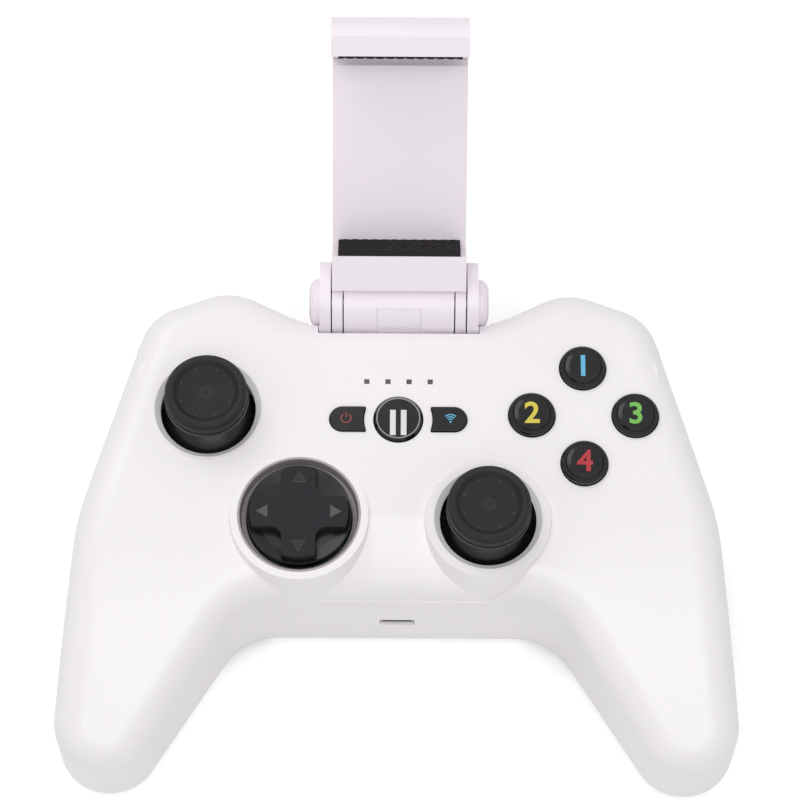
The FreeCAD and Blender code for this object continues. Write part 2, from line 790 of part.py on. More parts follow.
def make_face_buttons():
    """Four stepped round buttons on a rubber mat, and the three system keys."""
    top = "face_height + button_proud"
    under = "face_height - wall - body_gap - button_rim_drop"
    profile = [("0", "button_foot"), ("button_radius - 1.6", "button_foot"),
               ("button_radius - 1.6", under + " - button_flange"),
               ("button_radius + 1", under + " - button_flange"), ("button_radius + 1", under),
               ("button_radius", under), ("button_radius", top + " - button_step - 0.3"),
               ("button_radius - 0.3", top + " - button_step"),
               ("button_step_radius", top + " - button_step"),
               ("button_step_radius - 0.3", top + " - 0.15"),
               ("button_step_radius - 1.2", top), ("0", top)]
    domes = []
    for name, dx, dy in FACE_BUTTONS:
        x, y = "buttons_x + " + dx, "buttons_y + " + dy
        node(turned("button_" + name, profile, x, y), "button_" + name)
        domes.append(cone("mat_dome_" + name, "mat_dome_radius + 0.8", "mat_dome_radius",
                          "button_foot - button_travel - body_gap - board_bottom - board_thickness",
                          x, y, "board_bottom + board_thickness"))
    sheet_side = "2 * (button_pitch + mat_dome_radius + 1.2)"
    mat = box("mat_sheet", sheet_side, sheet_side, "mat_thickness", "buttons_x - 1.5", "buttons_y - 1",
              "board_bottom + board_thickness")
    bite = rod("mat_bite", "post_radius + 1.2", "10", "side_post_x", "side_post_y", "board_bottom")
    node(cut("button_mat", fused("mat_solid", [mat] + domes), [bite]), "button_mat")
    key_foot = "board_bottom + board_thickness + switch_height + key_travel + 0.1"
    rim = "face_height - wall - body_gap"
    top = "face_height + centre_key_proud"
    profile = [("0", key_foot), ("key_stem_radius", key_foot), ("key_stem_radius", rim + " - 1"),
               ("centre_key_radius + 0.9", rim + " - 1"), ("centre_key_radius + 0.9", rim),
               ("centre_key_radius", rim), ("centre_key_radius", top + " - 0.5"),
               ("centre_key_radius - 0.5", top), ("0", top)]
    node(turned("centre_button", profile, "0", "centre_key_y"), "centre_button")
    for name, x in SIDE_KEYS:
        inner = "1" if name == "wireless" else "-1"
        head = side_key(name + "_head", x, inner, "0", rim, "face_height + side_key_proud - (%s)"
                        % rim)
        collar = side_key(name + "_collar", x, inner, "0.6", rim + " - 0.9", "0.9")
        stem = rod(name + "_stem", "key_stem_radius", "%s - (%s)" % (rim, key_foot), x,
                   "centre_key_y", key_foot)
        node(fused(name + "_button", [head, collar, stem]), name + "_button")


def make_stick(side):
    """One thumb stick: housing, two gimbal frames, post with dome, and rubber cap."""
    x, y = side + "_stick_x", side + "_stick_y"
    floor = "board_bottom + board_thickness"
    rim = "stick_pivot + housing_rim"
    outer = box(side + "_case_outer", "housing_side", "housing_side", rim + " - " + floor.replace(
        " + ", " - "), x, y, floor)
    room = box(side + "_case_room", "housing_side - 2 * housing_wall",
               "housing_side - 2 * housing_wall", "30", x, y, floor + " + 1")
    bore = rod(side + "_case_bore", "gimbal_pin + running_gap", "housing_side + 2",
               x + " - housing_side / 2 - 1", y, "stick_pivot", "x")
    node(cut(side + "_stick_housing", outer, [room, bore]), side + "_stick_housing")
    low = "stick_pivot - gimbal_thickness / 2"
    ring = box(side + "_ring", "gimbal_side", "gimbal_side", "gimbal_thickness", x, y, low)
    pins = rod(side + "_ring_pins", "gimbal_pin", "housing_side", x + " - housing_side / 2", y,
               "stick_pivot", "x")
    window = box(side + "_ring_window", "gimbal_window", "gimbal_window", "10", x, y,
                 "stick_pivot - 5")
    ring_bore = rod(side + "_ring_bore", "hub_pin + running_gap", "gimbal_side + 2", x,
                    y + " - gimbal_side / 2 - 1", "stick_pivot", "y")
    node(cut(side + "_gimbal_frame", fused(side + "_ring_solid", [ring, pins]), [window, ring_bore]),
         side + "_gimbal_frame")
    hub = box(side + "_hub", "hub_side", "hub_side", "gimbal_thickness", x, y, low)
    hub_pins = rod(side + "_hub_pins", "hub_pin", "gimbal_side", x, y + " - gimbal_side / 2",
                   "stick_pivot", "y")
    hub_bore = rod(side + "_hub_bore", "stick_post_radius + running_gap", "10", x, y,
                   "stick_pivot - 5")
    node(cut(side + "_gimbal_hub", fused(side + "_hub_solid", [hub, hub_pins]), [hub_bore]),
         side + "_gimbal_hub")
    post = rod(side + "_post", "stick_post_radius", "stick_flange_height - stick_pivot + 4.9",
               x, y, "stick_pivot - 2")
    neck = cone(side + "_neck", "stick_post_radius + 2", "stick_post_radius + 1",
                "stick_flange_height - stick_pivot - dome_radius + 1.4", x, y,
                "stick_pivot + dome_radius - 1")
    flange = rod(side + "_flange", "stick_flange_radius", "1.2", x, y, "stick_flange_height")
    shell = cut(side + "_dome_shell", ball(side + "_dome_out", "dome_radius", x, y, "stick_pivot"),
                [ball(side + "_dome_in", "dome_radius - dome_thickness", x, y, "stick_pivot")])
    keep = rod(side + "_dome_keep", "dome_edge_radius", "20", x, y, "stick_pivot + 2")
    dome = common(side + "_dome", shell, keep)
    node(fused(side + "_stick_post", [post, neck, flange, dome]), side + "_stick_post")
    top = "stick_cap_height"
    profile = [("stick_post_radius + running_gap", "0"), ("stick_cap_radius", "0"),
               ("stick_cap_radius", top + " - 1.3"), ("stick_cap_radius - 0.5", top + " - 0.4"),
               ("stick_cap_radius - 1.2", top), ("stick_cap_radius - 1.8", top + " - 0.1"),
               ("stick_cap_grip", top + " - 0.9"), ("0", top + " - 1.1"), ("0", "1.85"),
               ("stick_post_radius + running_gap", "1.85")]
    node(turned(side + "_stick_cap", profile, x, y, "stick_flange_height + 1.2"),
         side + "_stick_cap")


def make_direction_pad():
    """Direction pad: fixed post and bezel, rocking frame, dished disc and cross."""
    x, y = "dpad_x", "dpad_y"
    floor = "board_bottom + board_thickness"
    pin, stem, frame, frame_in = "0.6", "1.9", "9", "5.2"
    post = rod("dpad_post_rod", stem, "dpad_pivot + 1.6 - board_bottom - board_thickness", x, y,
               floor)
    foot = rod("dpad_post_foot", "4", "1.6", x, y, floor)
    bore = rod("dpad_post_bore", pin + " + running_gap", "10", x + " - 5", y, "dpad_pivot", "x")
    node(cut("dpad_post", fused("dpad_post_solid", [post, foot]), [bore]), "dpad_post")
    ring = cut("dpad_frame_ring", box("dpad_frame_box", frame, frame, "2", x, y, "dpad_pivot - 1"),
               [box("dpad_frame_in", frame_in, frame_in, "6", x, y, "dpad_pivot - 3")])
    axle = rod("dpad_frame_axle", pin, frame, x + " - " + frame + " / 2", y, "dpad_pivot", "x")
    side_bore = [rod("dpad_frame_bore_%s" % name, pin + " + running_gap", "3", x, start,
                     "dpad_pivot", "y")
                 for name, start in (("front", y + " - " + frame + " / 2 - 0.5"),
                                     ("rear", y + " + " + frame_in + " / 2 - 0.2"))]
    node(cut("dpad_frame", fused("dpad_frame_solid", [ring, axle]), side_bore), "dpad_frame")
    edge = "dpad_edge_height - dpad_pivot"
    profile = [("0", edge), ("dpad_radius - 0.4", edge), ("dpad_radius", edge + " + 0.4"),
               ("dpad_radius", edge + " + dpad_disc_thickness"),
               ("dpad_radius - 2.5", edge + " + dpad_disc_thickness - 0.5"),
               ("0", edge + " + dpad_disc_thickness - 0.9")]
    disc = turned("dpad_dish", profile, x, y, "dpad_pivot")
    skirt_out = rod("dpad_skirt_out", "8.4", "dpad_edge_height - dpad_pivot + 2.1", x, y,
                    "dpad_pivot - 1.6")
    skirt_in = rod("dpad_skirt_in", "7", "dpad_edge_height - dpad_pivot + 1.6", x, y,
                   "dpad_pivot - 1.6")
    pins = [rod("dpad_pin_front", pin, "3.8", x, y + " - 7.6", "dpad_pivot", "y"),
            rod("dpad_pin_rear", pin, "3.8", x, y + " + 3.8", "dpad_pivot", "y")]
    skirt = cut("dpad_skirt", skirt_out, [skirt_in])
    node(fused("dpad_disc", [disc, skirt] + pins), "dpad_disc")
    low = "dpad_edge_height + dpad_disc_thickness - 0.5"
    slab = rod("dpad_cross_slab", "dpad_radius - 0.7", "dpad_cross_height + 0.9", x, y, low)
    corner, side = "dpad_arm_half + dpad_corner_radius", "dpad_radius"
    bites = []
    for i, (sx, sy) in enumerate((("1", "1"), ("-1", "1"), ("-1", "-1"), ("1", "-1"))):
        bites.append(rod("dpad_bite_round_%d" % i, "dpad_corner_radius", "20",
                         "%s + %s * (%s)" % (x, sx, corner), "%s + %s * (%s)" % (y, sy, corner),
                         "dpad_edge_height - 5"))
        bites.append(box("dpad_bite_long_%d" % i, side, side + " - dpad_corner_radius", "20",
                         "%s + %s * (dpad_arm_half + (%s) / 2)" % (x, sx, side),
                         "%s + %s * (%s + (%s - dpad_corner_radius) / 2)" % (y, sy, corner, side),
                         "dpad_edge_height - 5"))
        bites.append(box("dpad_bite_wide_%d" % i, side + " - dpad_corner_radius", side, "20",
                         "%s + %s * (%s + (%s - dpad_corner_radius) / 2)" % (x, sx, corner, side),
                         "%s + %s * (dpad_arm_half + (%s) / 2)" % (y, sy, side),
                         "dpad_edge_height - 5"))
    under = turned("dpad_dish_tool", profile, x, y, "dpad_pivot")
    node(cut("dpad_cross", slab, bites + [under]), "dpad_cross")
    top = "bezel_height"
    bezel = [("bezel_low_inner", "0"), ("bezel_radius", "0"), ("bezel_radius", top),
             ("bezel_top_inner", top), ("bezel_low_inner", "1.2")]
    node(turned("dpad_bezel", bezel, x, y, "face_height + turret_rise - bezel_height"),
         "dpad_bezel")


def bumper_band(name, low, high):
    """A band of the case's outline between two insets."""
    z = value("bumper_bottom")
    height = value("bumper_height")
    faces = [Part.Face(case_outline(inset)) for inset in (low, high)]
    solids = [face.extrude(FreeCAD.Vector(0, 0, height)) for face in faces]
    band = solids[0].cut(solids[1])
    band.translate(FreeCAD.Vector(0, 0, z))
    return code_feature(name, band)


def make_bumpers():
    """Shoulder buttons on upright pins at their inner ends, and their switches."""
    band = bumper_band("bumper_band", -value("bumper_proud"),
                       value("bumper_thickness") - value("bumper_proud"))
    pins = []
    switches = []
    for side in ("left", "right"):
        sign = mirror_sign(side)
        window = box(side + "_bumper_window", "bumper_outer_x - bumper_inner_x", "40",
                     "bumper_height", sign + " * (bumper_outer_x + bumper_inner_x) / 2",
                     "bumper_side_end + 20", "bumper_bottom")
        pin_x = sign + " * bumper_pin_x"
        bar = common(side + "_bumper_bar", band, window)
        eye = rod(side + "_bumper_eye", "bumper_pin_radius + 1.2", "bumper_height", pin_x,
                  "bumper_pin_y", "bumper_bottom")
        web = box(side + "_bumper_web", "2.2", "2.6", "bumper_height", pin_x,
                  "bumper_pin_y + 1.6", "bumper_bottom")
        bore = rod(side + "_bumper_bore", "bumper_pin_radius + running_gap", "20", pin_x,
                   "bumper_pin_y", "bumper_bottom - 5")
        node(cut(side + "_bumper", fused(side + "_bumper_solid", [bar, eye, web]), [bore]),
             side + "_bumper")
        pins.append(rod(side + "_bumper_pin", "bumper_pin_radius", "bumper_height + 2.8", pin_x,
                        "bumper_pin_y", "bumper_bottom - 1.4"))
        switches.append(box(side + "_bumper_switch", "switch_side", "3",
                            "bumper_height - 1.5 + key_gap", sign + " * bumper_switch_x",
                            "bumper_switch_y", "bumper_bottom + 1.5"))
    node(group("bumper_pins", pins), "bumper_pins")
    node(group("bumper_switches", switches), "bumper_switches")


def make_triggers():
    """Curved triggers on cross pins below the shoulder buttons, with return springs."""
    hub = "trigger_hub_radius"
    reach = "trigger_reach - trigger_pivot_y"
    corners = [("0", hub), ("12.5", "3.4"), ("15.6", "1"), ("16.8", "-3"), (reach, "-9.4"),
               (reach + " - 1.6", "-10.6"), ("13.8", "-5.4"), ("12.2", "-2.2"), ("9", "-1.8"),
               ("0", "-" + hub)]
    pins = []
    springs = []
    for side in ("left", "right"):
        sign = mirror_sign(side)
        x = sign + " * trigger_x"
        paddle = padded(side + "_paddle", "YZ_Plane", corners, "trigger_width", True, x,
                        "trigger_pivot_y", "trigger_pivot_z")
        start = x + " - trigger_width / 2"
        barrel = rod(side + "_trigger_hub", hub, "trigger_width", start, "trigger_pivot_y",
                     "trigger_pivot_z", "x")
        bore = rod(side + "_trigger_bore", "trigger_pin_radius + running_gap", "trigger_width + 2",
                   start + " - 1", "trigger_pivot_y", "trigger_pivot_z", "x")
        nest = rod(side + "_spring_nest", "trigger_hub_radius - 0.6", "spring_length + 0.6",
                   start + " - 0.2", "trigger_pivot_y", "trigger_pivot_z", "x")
        node(cut(side + "_trigger", fused(side + "_trigger_solid", [paddle, barrel]), [bore, nest]),
             side + "_trigger")
        pins.append(rod(side + "_trigger_pin", "trigger_pin_radius",
                        "trigger_width + 2 * trigger_side_gap + 3.6",
                        start + " - trigger_side_gap - 1.8", "trigger_pivot_y", "trigger_pivot_z", "x"))
        coil = rod(side + "_coil", "trigger_hub_radius - 0.9", "spring_length", start + " + 0.1",
                   "trigger_pivot_y", "trigger_pivot_z", "x")
        hole = rod(side + "_coil_hole", "trigger_pin_radius + 0.1", "spring_length + 1",
                   start + " - 0.4", "trigger_pivot_y", "trigger_pivot_z", "x")
        springs.append(cut(side + "_coil_ring", coil, [hole]))
    node(group("trigger_pins", pins), "trigger_pins")
    node(group("trigger_springs", springs), "trigger_springs")


def across(name, radius, start, length, y="hinge_y", z="hinge_z"):
    """A rod across the controller, parallel to the hinge."""
    return rod(name, radius, length, start, y, z, "x")


def cover_block(name, width, length, seat):
    """A block that stands out of the barrel, its foot at a distance from the hinge line."""
    block = box(name, width, length, "10")
    y = "hinge_y - sin(cover_turn) * (%s) - cos(cover_turn) * (%s) / 2" % (seat, length)
    z = "hinge_z + cos(cover_turn) * (%s) - sin(cover_turn) * (%s) / 2" % (seat, length)
    return place(block, "-(%s) / 2" % width, y, z, (1, 0, 0), "cover_turn")


def make_hinge():
    """Fixed half of the hinge: barrel, ears and foot, pin, washers, cover and end caps."""
    ear_in = "barrel_half + 2 * knuckle_gap + knuckle_width"
    ear_out = ear_in + " + ear_thickness"
    front = "hinge_y - barrel_radius - 0.4"
    rear = "hinge_y + 6"
    depth = "barrel_radius + 6.4"
    middle = "hinge_y - barrel_radius / 2 + 2.8"
    solids = [
        across("barrel", "barrel_radius", "-barrel_half", "2 * barrel_half"),
        box("barrel_foot", "2 * barrel_half", depth, "hinge_z - hinge_foot_height", "0", middle,
            "hinge_foot_height"),
        box("hinge_sill", "2 * (%s)" % ear_out, depth,
            "hinge_z - barrel_radius - body_gap - hinge_foot_height - 0.2", "0", middle,
            "hinge_foot_height"),
    ]
    for name, start in (("left", "-(%s)" % ear_out), ("right", ear_in)):
        sign = mirror_sign(name)
        solids.append(across(name + "_ear_disc", "ear_radius", start, "ear_thickness",
                             "hinge_y + ear_setback"))
        solids.append(box(name + "_ear_foot", "ear_thickness", depth,
                          "hinge_z - hinge_foot_height",
                          "%s * (%s + ear_thickness / 2)" % (sign, ear_in), middle,
                          "hinge_foot_height"))
    bore = across("hinge_bore", "hinge_pin_radius + running_gap", "-(%s) - 1" % ear_out,
                  "2 * (%s) + 2" % ear_out)
    pocket = cover_block("cover_pocket", "2 * cover_half_width + 2 * running_gap",
                         "cover_length + 2 * running_gap", "cover_seat")
    node(cut("hinge_base", fused("hinge_solid", solids), [bore, pocket]), "hinge_base")
    plate = cover_block("cover_plate", "2 * cover_half_width", "cover_length",
                        "cover_seat + running_gap")
    disc = across("cover_disc", "barrel_radius - 0.25", "-cover_half_width", "2 * cover_half_width")
    node(common("hinge_cover", plate, disc), "hinge_cover")
    node(across("hinge_pin", "hinge_pin_radius", "-(%s)" % ear_out, "2 * (%s)" % ear_out),
         "hinge_pin")
    for name, z_turn in (("left", "-90"), ("right", "90")):
        profile = [("0", "0"), ("cap_radius", "0"), ("cap_radius", "cap_height * 0.45"),
                   ("cap_radius - 0.7", "cap_height * 0.78"), ("cap_radius - 2", "cap_height * 0.95"),
                   ("0", "cap_height")]
        cap = turned(name + "_hinge_cap", profile)
        place(cap, "%s * (%s)" % (mirror_sign(name), ear_out), "hinge_y", "hinge_z", (0, 1, 0),
              z_turn)
        node(cap, name + "_hinge_cap")


CLAMP_SCREW_PLACES = ["-1", "1"]


def clamp_screw_rods(name, radius):
    """One rod at each of the clamp's two rear screws."""
    return [rod("%s_%d" % (name, i), radius, "back_screw_length", sign + " * (clamp_half_width - 4)",
                "plate_back - back_screw_length", "ledge_height - back_screw_drop", "y")
            for i, sign in enumerate(CLAMP_SCREW_PLACES)]


def upright(item):
    """Lean a piece of the clamp back about the hinge, from its upright place."""
    return place(item, "0", "hinge_y", "hinge_z", (-1, 0, 0), "clamp_lean")


def make_clamp():
    """The swinging clamp, modelled upright about the hinge line and then leaned back."""
    half = "clamp_half_width"
    gap = "barrel_radius + body_gap"
    knuckle_in = "barrel_half + knuckle_gap"
    profile = [("-ledge_front", "ledge_drop"), ("-ledge_front", "ledge_height"),
               ("plate_front", "ledge_height"), ("plate_front", "plate_top - 1.2"),
               ("plate_front + 1.2", "plate_top"), ("plate_back - back_cover", "plate_top"),
               ("plate_back - back_cover", "0"), ("0", "0"), ("-barrel_radius / 2", "ledge_drop")]
    solid = padded("clamp_blank", "YZ_Plane", profile, "2 * " + half, True)
    rings = [rod("left_knuckle", "barrel_radius", "knuckle_width", "-(%s) - knuckle_width"
                 % knuckle_in, "0", "0", "x"),
             rod("right_knuckle", "barrel_radius", "knuckle_width", knuckle_in, "0", "0", "x")]
    saddle = rod("saddle", gap, "2 * (%s)" % knuckle_in, "-(%s)" % knuckle_in, "0", "0", "x")
    bore = rod("knuckle_bore", "hinge_pin_radius + running_gap", "60", "-30", "0", "0", "x")
    slot = box("slide_slot", "2 * slot_half_width", "slot_thickness + 20", TALL, "0",
               "plate_front + 1.5 + (slot_thickness + 20) / 2", "slot_floor - spring_room")
    body = cut("clamp_solid", fused("clamp_union", [solid] + rings),
               [saddle, bore, slot] + clamp_screw_rods("body_bore", "back_screw_radius + running_gap"))
    blank = group("clamp_body_group", [body])
    node(upright(blank), "clamp_body")
    cover = padded("clamp_back_blank", "YZ_Plane",
                   [("plate_back - back_cover", "barrel_radius + 1"), ("plate_back", "barrel_radius + 2"),
                    ("plate_back", "plate_top - 1"), ("plate_back - 0.8", "plate_top"),
                    ("plate_back - back_cover", "plate_top")], "2 * " + half, True)
    cover_cut = cut("clamp_back_cut", cover,
                    clamp_screw_rods("cover_bore", "back_screw_radius + running_gap"))
    node(upright(group("clamp_back_group", [cover_cut])), "clamp_back")
    arm_y = "plate_front + 1.5 + slide_gap"
    arm_depth = "plate_back - back_cover - slide_gap - (%s)" % arm_y
    arm = box("jaw_arm", "2 * (slot_half_width - slide_gap)", arm_depth,
              "plate_top + jaw_neck + 1 - slot_floor - slide_gap", "0",
              "%s + (%s) / 2" % (arm_y, arm_depth), "slot_floor + slide_gap")
    base = "plate_top + jaw_neck"
    head = padded("jaw_head", "YZ_Plane",
                  [("-jaw_front", base), ("-jaw_front", base + " + jaw_lip_drop * 0.62"),
                   ("-jaw_front + 0.9", base + " + jaw_lip_drop * 0.8"),
                   ("-jaw_front + 2.6", base + " + jaw_lip_drop * 0.93"),
                   ("-jaw_front + 5", base + " + jaw_lip_drop"),
                   ("-jaw_front + 8", base + " + jaw_lip_drop * 0.98"),
                   ("plate_back - 4.6", base + " + jaw_lip_drop * 0.87"),
                   ("plate_back - 2.4", base + " + jaw_lip_drop * 0.66"),
                   ("plate_back - 0.8", base + " + jaw_lip_drop * 0.36"), ("plate_back", base),
                   ("plate_back", "plate_top + 0.4"), ("plate_front + 0.4", "plate_top + 0.4"),
                   ("plate_front + 0.4", base)],
                  "2 * (clamp_half_width + jaw_overhang)", True)
    node(upright(group("clamp_jaw_group", [fused("jaw_solid", [arm, head])])), "clamp_jaw")
    ledge_pad = box("ledge_pad", "2 * (clamp_half_width - pad_margin)",
                    "ledge_front + plate_front - 0.4", "pad_thickness", "0",
                    "(plate_front - ledge_front) / 2", "ledge_height")
    node(upright(group("ledge_pad_group", [ledge_pad])), "lower_pad")
    jaw_pad = box("jaw_pad", "2 * (clamp_half_width - pad_margin)",
                  "jaw_front + plate_front - 0.6 - jaw_pad_setback", "pad_thickness", "0",
                  "(plate_front - jaw_front + jaw_pad_setback) / 2", base + " - pad_thickness")
    node(upright(group("jaw_pad_group", [jaw_pad])), "upper_pad")
    spring = rod("spring_roll", "spring_room / 2 - 0.3", "2 * slot_half_width - 1",
                 "-slot_half_width + 0.5", "plate_front + 1.5 + spring_room / 2",
                 "slot_floor - spring_room / 2", "x")
    node(upright(group("clamp_spring_group", [spring])), "clamp_spring")
    screws = []
    for i, shank in enumerate(clamp_screw_rods("back_shank", "back_screw_radius")):
        head_rod = rod("back_head_%d" % i, "2 * back_screw_radius", "back_screw_head",
                       CLAMP_SCREW_PLACES[i] + " * (clamp_half_width - 4)", "plate_back",
                       "ledge_height - back_screw_drop", "y")
        screws.append(fused("back_screw_%d" % i, [shank, head_rod]))
    node(upright(group("clamp_screws_group", screws)), "clamp_screws")


make_top_shell()
make_bottom_shell()
make_screws()
make_electronics()
make_face_buttons()
make_stick("left")
make_stick("right")
make_direction_pad()
make_bumpers()
make_triggers()
make_hinge()
make_clamp()
doc.recompute()

for item in doc.Objects:
    if "Invalid" in item.State or "Error" in item.State:
        raise RuntimeError("%s failed: %s" % (item.Name, item.State))
for item in nodes:
    if item.Shape.isNull() or not item.Shape.isValid() or not item.Shape.Solids:
        raise RuntimeError("%s has no sound shape" % item.Label)

os.makedirs("parts", exist_ok=True)
for item in nodes:
    item.Shape.exportStep(os.path.join("parts", item.Label + ".step"))
print("%d sub-parts written" % len(nodes))
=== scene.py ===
import json
import math

import bmesh
import bpy
from mathutils import Matrix, Quaternion, Vector


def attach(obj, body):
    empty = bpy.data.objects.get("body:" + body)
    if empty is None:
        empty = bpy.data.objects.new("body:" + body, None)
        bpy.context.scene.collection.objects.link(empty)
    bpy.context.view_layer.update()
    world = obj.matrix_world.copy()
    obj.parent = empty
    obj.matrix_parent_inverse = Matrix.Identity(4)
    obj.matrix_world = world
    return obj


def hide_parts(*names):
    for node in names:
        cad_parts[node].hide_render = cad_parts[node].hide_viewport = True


# Looks of a game controller with a flip-up phone clamp
# Lengths of the object are in millimetres, and MM turns them into metres
# Lamps are placed in metres, and the scale of a noise is per metre

MM = 0.001

# Places on the face, where a centre is an x and a y
FACE = 40.8
BUTTONS = (41.9, 9.2)
BUTTON_PITCH = 11.7
BUTTON_TOP = FACE + 1.8
CENTRE_KEY = (0.0, 8.0)
CENTRE_KEY_TOP = FACE + 0.9
SIDE_KEY_X = 11.5
SIDE_KEY_TOP = FACE + 0.7
DPAD = (-22.0, -15.3)
DPAD_TOP = 43.0
STICKS = {"left": (-43.1, 10.6), "right": (20.2, -16.0)}
STICK_TOP = 50.5

# The signs of the side keys stand this much farther out than the keys' middles
SIGN_SHIFT = 0.3

# Undersides and tops of the marks on the keys and on the direction pad
BAR_LEVELS = (CENTRE_KEY_TOP - 0.02, CENTRE_KEY_TOP + 0.05)
RING_LEVELS = (CENTRE_KEY_TOP - 0.03, CENTRE_KEY_TOP + 0.03)
SIGN_LEVELS = (SIDE_KEY_TOP - 0.02, SIDE_KEY_TOP + 0.04)
ARROW_LEVELS = (DPAD_TOP - 0.05, DPAD_TOP + 0.02)
RIM_LEVELS = (DPAD_TOP - 0.05, DPAD_TOP + 0.05)

# The clamp's hinge line, as its y and z, and the angle by which the clamp leans back
HINGE = (38.4, 38.25)
LEAN = math.radians(46.7)

# Waves of the clamp's rubber pads
PAD_HALF_WIDTH = 13.9
WAVE_PITCH = 2.25
WAVE_SWAY = 0.42
ROW_PITCH = 1.9
WAVE_DEPTH = 0.42

# Grip bumps of the stick caps
BUMP_COUNT = 8
BUMP_RING_RADIUS = 5.9
BUMP_RADIUS = 0.62
BUMP_RISE = 0.34
BUMP_SEAT = STICK_TOP - 1.04

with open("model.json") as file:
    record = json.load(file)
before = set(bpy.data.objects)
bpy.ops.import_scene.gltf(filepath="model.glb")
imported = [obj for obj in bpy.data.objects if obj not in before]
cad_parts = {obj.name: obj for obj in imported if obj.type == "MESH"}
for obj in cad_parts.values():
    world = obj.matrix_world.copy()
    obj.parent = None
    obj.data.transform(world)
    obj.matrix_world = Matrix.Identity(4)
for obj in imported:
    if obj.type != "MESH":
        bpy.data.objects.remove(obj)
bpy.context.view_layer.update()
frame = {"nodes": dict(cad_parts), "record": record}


def new_material(name):
    """An empty node material with its shader and the object's own coordinates."""
    material = bpy.data.materials.new(name)
    material.use_nodes = True
    tree = material.node_tree
    shader = tree.nodes["Principled BSDF"]
    place = tree.nodes.new("ShaderNodeTexCoord")
    return material, tree, shader, place


def noise(tree, place, scale, detail=3.0):
    """Noise in the object's own coordinates, with features about 1 / scale metres wide."""
    node = tree.nodes.new("ShaderNodeTexNoise")
    node.inputs["Scale"].default_value = scale
    node.inputs["Detail"].default_value = detail
    node.inputs["Roughness"].default_value = 0.55
    tree.links.new(place.outputs["Object"], node.inputs["Vector"])
    return node.outputs["Fac"]


def spread(tree, source, low, high):
    """A value that runs from low to high over the middle of a noise's range."""
    node = tree.nodes.new("ShaderNodeMapRange")
    node.inputs["From Min"].default_value = 0.3
    node.inputs["From Max"].default_value = 0.7
    node.inputs["To Min"].default_value = low
    node.inputs["To Max"].default_value = high
    tree.links.new(source, node.inputs["Value"])
    return node.outputs["Result"]


def shades(tree, source, first, second):
    """A colour that drifts between two shades with a noise."""
    ramp = tree.nodes.new("ShaderNodeValToRGB")
    start, end = ramp.color_ramp.elements
    start.position = 0.32
    start.color = (*first, 1)
    end.position = 0.68
    end.color = (*second, 1)
    tree.links.new(source, ramp.inputs["Fac"])
    return ramp.outputs["Color"]


def worn_edges(tree, colour, edge, amount):
    """The colour with its outer edges rubbed towards an edge shade."""
    shape = tree.nodes.new("ShaderNodeNewGeometry")
    reach = tree.nodes.new("ShaderNodeMapRange")
    reach.inputs["From Min"].default_value = 0.52
    reach.inputs["From Max"].default_value = 0.62
    reach.inputs["To Max"].default_value = amount
    tree.links.new(shape.outputs["Pointiness"], reach.inputs["Value"])
    mix = tree.nodes.new("ShaderNodeMix")
    mix.data_type = "RGBA"
    sockets = [s for s in mix.inputs if s.type == "RGBA"]
    sockets[1].default_value = (*edge, 1)
    tree.links.new(reach.outputs["Result"], mix.inputs["Factor"])
    tree.links.new(colour, sockets[0])
    return next(s for s in mix.outputs if s.type == "RGBA")


def moulded(name, shade, drift, roughness, grain, depth, edge, wear, coat=0.0, metal=0.0,
            specular=0.5):
    """Moulded or drawn stock: drifting shade, fine grain, uneven gloss and rubbed edges."""
    drift_scale = 38.0
    gloss_scale = 260.0
    gloss_detail = 4.0
    grain_detail = 2.0
    material, tree, shader, place = new_material(name)
    low = tuple(c * (1 - drift) for c in shade)
    high = tuple(min(1.0, c * (1 + drift)) for c in shade)
    colour = shades(tree, noise(tree, place, drift_scale), low, high)
    tree.links.new(worn_edges(tree, colour, edge, wear), shader.inputs["Base Color"])
    uneven = noise(tree, place, gloss_scale, gloss_detail)
    tree.links.new(spread(tree, uneven, *roughness), shader.inputs["Roughness"])
    bump = tree.nodes.new("ShaderNodeBump")
    bump.inputs["Strength"].default_value = depth
    bump.inputs["Distance"].default_value = 0.05 * MM
    tree.links.new(noise(tree, place, grain, grain_detail), bump.inputs["Height"])
    tree.links.new(bump.outputs["Normal"], shader.inputs["Normal"])
    shader.inputs["Coat Weight"].default_value = coat
    shader.inputs["Coat Roughness"].default_value = 0.08
    shader.inputs["Metallic"].default_value = metal
    shader.inputs["Specular IOR Level"].default_value = specular
    return material


# One finish for each material slot of the record

